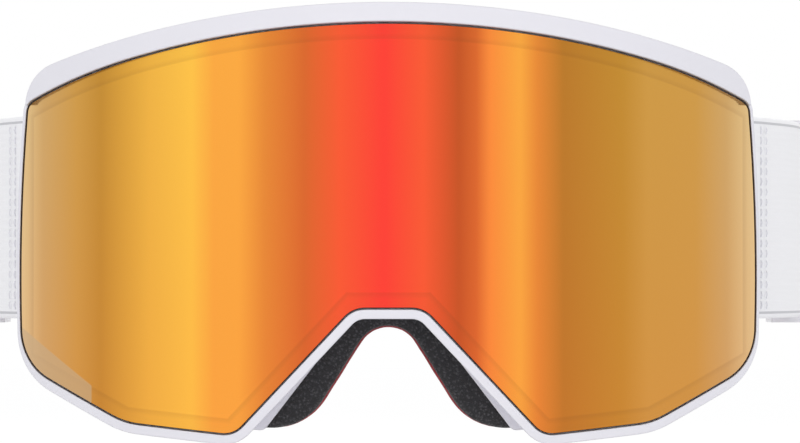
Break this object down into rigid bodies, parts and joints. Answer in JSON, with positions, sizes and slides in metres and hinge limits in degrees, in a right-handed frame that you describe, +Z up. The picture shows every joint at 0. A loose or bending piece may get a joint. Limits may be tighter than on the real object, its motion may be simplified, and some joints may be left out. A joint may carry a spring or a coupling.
{
  "type": "ski goggles",
  "caption": "Ski goggles with a removable mirrored cylindrical double lens, foam-faced frame, hinged strap arms and an adjustable elastic strap.",
  "frame": {"origin": "middle of the face seal: the apex of the foam's face surface, level with the middle of the strap", "axes": "+X the wearer's left, +Y towards the wearer's face, +Z up; the lens looks along -Y"},
  "size_m": [0.217, 0.2367, 0.1003],
  "materials": {
    "white_frame": "satin soft moulded polyurethane",
    "white_arm": "satin nylon",
    "dark_foam": "open-cell foam",
    "red_fleece": "brushed fleece",
    "filter_foam": "coarse open-cell foam",
    "steel": "nickel plated",
    "mirror_lens": "red to gold mirror coating",
    "clear_lens": "clear, anti-fog",
    "dark_seal": "matt seal",
    "white_webbing": "woven elastic",
    "clear_silicone": "silicone"
  },
  "bodies": {
    "goggle_frame": {"frame": "white_frame", "face_frame": "white_frame", "foam_firm": "dark_foam", "foam_soft": "dark_foam", "foam_fleece": "red_fleece", "vent_foam_top": "filter_foam", "vent_foam_low_left": "filter_foam", "vent_foam_low_right": "filter_foam", "frame_magnets": "steel", "hinge_pins_left": "steel", "hinge_pins_right": "steel", "strap_back": "white_webbing", "strap_grips": "clear_silicone", "strap_front_left": "white_webbing", "strap_front_right": "white_webbing", "strap_tail_left": "white_webbing", "strap_tail_right": "white_webbing"},
    "lens_unit": {"outer_lens": "mirror_lens", "lens_gasket": "dark_seal", "lens_keepers": "steel", "lens_spacer": "dark_seal", "inner_lens": "clear_lens"},
    "outrigger_arm_left": {"outrigger_left": "white_arm"},
    "outrigger_arm_right": {"outrigger_right": "white_arm"},
    "strap_adjuster_left": {"adjuster_left": "white_arm"},
    "strap_adjuster_right": {"adjuster_right": "white_arm"}
  },
  "joints": [
    {"name": "lens_release", "type": "slide", "parent": "goggle_frame", "child": "lens_unit", "axis": [0, -1, 0], "range_m": [0, 0.035]},
    {"name": "arm_hinge_left", "type": "hinge", "parent": "goggle_frame", "child": "outrigger_arm_left", "pos_m": [0.0846, 0.0195, 0], "axis": [0, 0, -1], "range_deg": [-10, 20], "deforming": ["strap_front_left"]},
    {"name": "arm_hinge_right", "type": "hinge", "parent": "goggle_frame", "child": "outrigger_arm_right", "pos_m": [-0.0846, 0.0195, 0], "axis": [0, 0, 1], "range_deg": [-10, 20], "deforming": ["strap_front_right"]},
    {"name": "adjuster_slide_left", "type": "slide", "parent": "goggle_frame", "child": "strap_adjuster_left", "axis": [0, 1, 0], "range_m": [-0.012, 0.012], "deforming": ["strap_tail_left"]},
    {"name": "adjuster_slide_right", "type": "slide", "parent": "goggle_frame", "child": "strap_adjuster_right", "axis": [0, 1, 0], "range_m": [-0.012, 0.012], "deforming": ["strap_tail_right"]}
  ]
}
